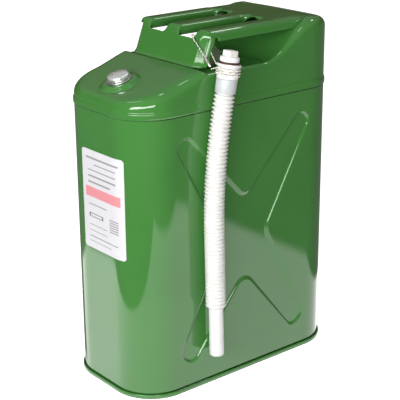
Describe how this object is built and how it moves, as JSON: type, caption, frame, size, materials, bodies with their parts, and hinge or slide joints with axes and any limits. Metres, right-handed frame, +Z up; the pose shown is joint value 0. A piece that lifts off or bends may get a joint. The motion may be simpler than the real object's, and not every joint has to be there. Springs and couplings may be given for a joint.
{
  "type": "fuel can",
  "caption": "Upright steel fuel can with carrying bars, a screw filler cap and a flexible corrugated pouring nozzle tethered by a ball chain.",
  "frame": {"origin": "centre of the underside of the base, on the ground", "axes": "+Z up, X across the width with the nozzle on +X, Y along the length with the filler slope at -Y"},
  "size_m": [0.211, 0.352, 0.475],
  "materials": {
    "green_paint": "gloss",
    "cap_chrome": "polished",
    "plated_steel": "zinc plated",
    "seal_rubber": "matt",
    "white_plastic": "satin, slightly translucent",
    "chain_nickel": "nickel plated",
    "label_vinyl": "printed vinyl"
  },
  "bodies": {
    "can": {"body_shell": "green_paint", "bottom_plate": "green_paint", "top_shell": "green_paint", "handle_bridge": "green_paint", "filler_neck": "plated_steel", "breather_tube": "plated_steel", "front_label": "label_vinyl", "ball_chain": "chain_nickel"},
    "cap_seat": {"cap_gasket": "seal_rubber", "cap_liner": "plated_steel"},
    "cap": {"filler_cap": "cap_chrome"},
    "tether_link": {"chain_coupler": "chain_nickel"},
    "nozzle": {"tether_loop": "chain_nickel", "hose_connector": "white_plastic", "nozzle_washer": "seal_rubber", "hose_upper": "white_plastic"},
    "union": {"union_nut": "white_plastic"},
    "plug_seat": {"plug_gasket": "seal_rubber"},
    "plug": {"nozzle_plug": "white_plastic"},
    "hose_end": {"hose_lower": "white_plastic", "spout_tube": "white_plastic"}
  },
  "joints": [
    {"name": "cap_lift", "type": "slide", "parent": "can", "child": "cap_seat", "axis": [0, -0.2829, 0.9591], "range_m": [0, 0.0075]},
    {"name": "cap_turn", "type": "hinge", "parent": "cap_seat", "child": "cap", "pos_m": [0, -0.1344, 0.41071], "axis": [0, -0.2829, 0.9591], "range_deg": [0, 900]},
    {"name": "nozzle_swing", "type": "hinge", "parent": "can", "child": "tether_link", "pos_m": [0.077, -0.0615, 0.448], "axis": [1, 0, 0], "range_deg": [-8, 35]},
    {"name": "nozzle_lift", "type": "hinge", "parent": "tether_link", "child": "nozzle", "pos_m": [0.0893, -0.0602, 0.4352], "axis": [0, -1, 0], "range_deg": [0, 40]},
    {"name": "union_spin", "type": "hinge", "parent": "nozzle", "child": "union", "pos_m": [0.104, -0.0489, 0.403], "axis": [0, 0.1772, 0.9842], "continuous": true},
    {"name": "plug_lift", "type": "slide", "parent": "union", "child": "plug_seat", "axis": [0, 0.1772, 0.9842], "range_m": [0, 0.012]},
    {"name": "plug_turn", "type": "hinge", "parent": "plug_seat", "child": "plug", "pos_m": [0.104, -0.0489, 0.403], "axis": [0, 0.1772, 0.9842], "range_deg": [0, 1440]},
    {"name": "hose_bend", "type": "hinge", "parent": "nozzle", "child": "hose_end", "pos_m": [0.104, -0.0672, 0.237], "axis": [0, -1, 0], "range_deg": [0, 35]}
  ],
  "couplings": [
    {"joint": "cap_lift", "follows": "cap_turn", "m_per_rad": 0.00047746},
    {"joint": "plug_lift", "follows": "plug_turn", "m_per_rad": 0.00047746}
  ]
}
